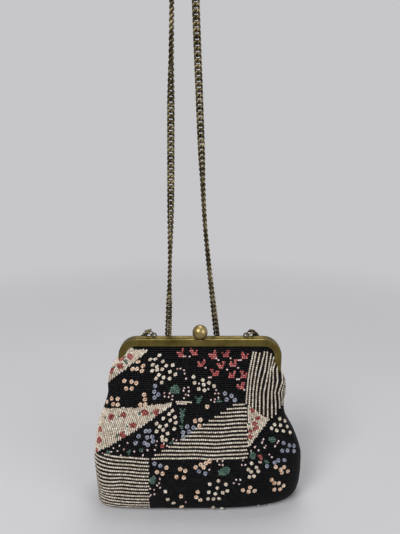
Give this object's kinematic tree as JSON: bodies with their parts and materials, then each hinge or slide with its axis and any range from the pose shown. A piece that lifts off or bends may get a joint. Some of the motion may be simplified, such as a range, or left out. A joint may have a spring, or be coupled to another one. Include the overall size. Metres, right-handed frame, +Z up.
{
  "type": "beaded kiss-lock purse",
  "caption": "Soft beaded evening purse on a hinged metal frame with a ball clasp, and a curb chain that hangs from above.",
  "frame": {"origin": "on the surface that the purse stands on, under the middle of the bag", "axes": "+Z up, -Y out of the front (the side with the large clasp ball), +X to the right as seen from the front"},
  "size_m": [0.216, 0.0684, 0.5254],
  "materials": {
    "antique_brass": "aged satin",
    "rubbed_brass": "polished, slightly tarnished",
    "dark_bronze": "antiqued",
    "beaded_cloth": "glass seed beads sewn on cloth",
    "ivory_satin": "satin",
    "paper_twine": "matt"
  },
  "bodies": {
    "bag_and_rear_frame": {"rear_frame_half": "antique_brass", "chain_ear_left": "antique_brass", "chain_ear_right": "antique_brass", "jump_ring_left": "antique_brass", "jump_ring_right": "antique_brass", "hinge_rivet_left": "rubbed_brass", "hinge_rivet_right": "rubbed_brass", "clasp_knob": "rubbed_brass", "chain_left_slack": "dark_bronze", "chain_left_strand": "dark_bronze", "chain_top_loop": "dark_bronze", "chain_right_strand": "dark_bronze", "chain_right_slack": "dark_bronze", "rear_panel": "beaded_cloth", "front_panel_lower": "beaded_cloth", "rear_lining": "ivory_satin", "front_lining_lower": "ivory_satin", "slip_pocket": "ivory_satin", "packing_cord_rear": "paper_twine"},
    "front_frame": {"front_frame_half": "antique_brass", "clasp_ball": "rubbed_brass", "packing_cord_front": "paper_twine", "front_panel_upper": "beaded_cloth", "front_lining_upper": "ivory_satin"}
  },
  "joints": [
    {"name": "frame_open", "type": "hinge", "parent": "bag_and_rear_frame", "child": "front_frame", "pos_m": [0, 0, 0.138], "axis": [1, 0, 0], "range_deg": [0, 95], "deforming": ["front_panel_upper", "front_lining_upper"]}
  ]
}
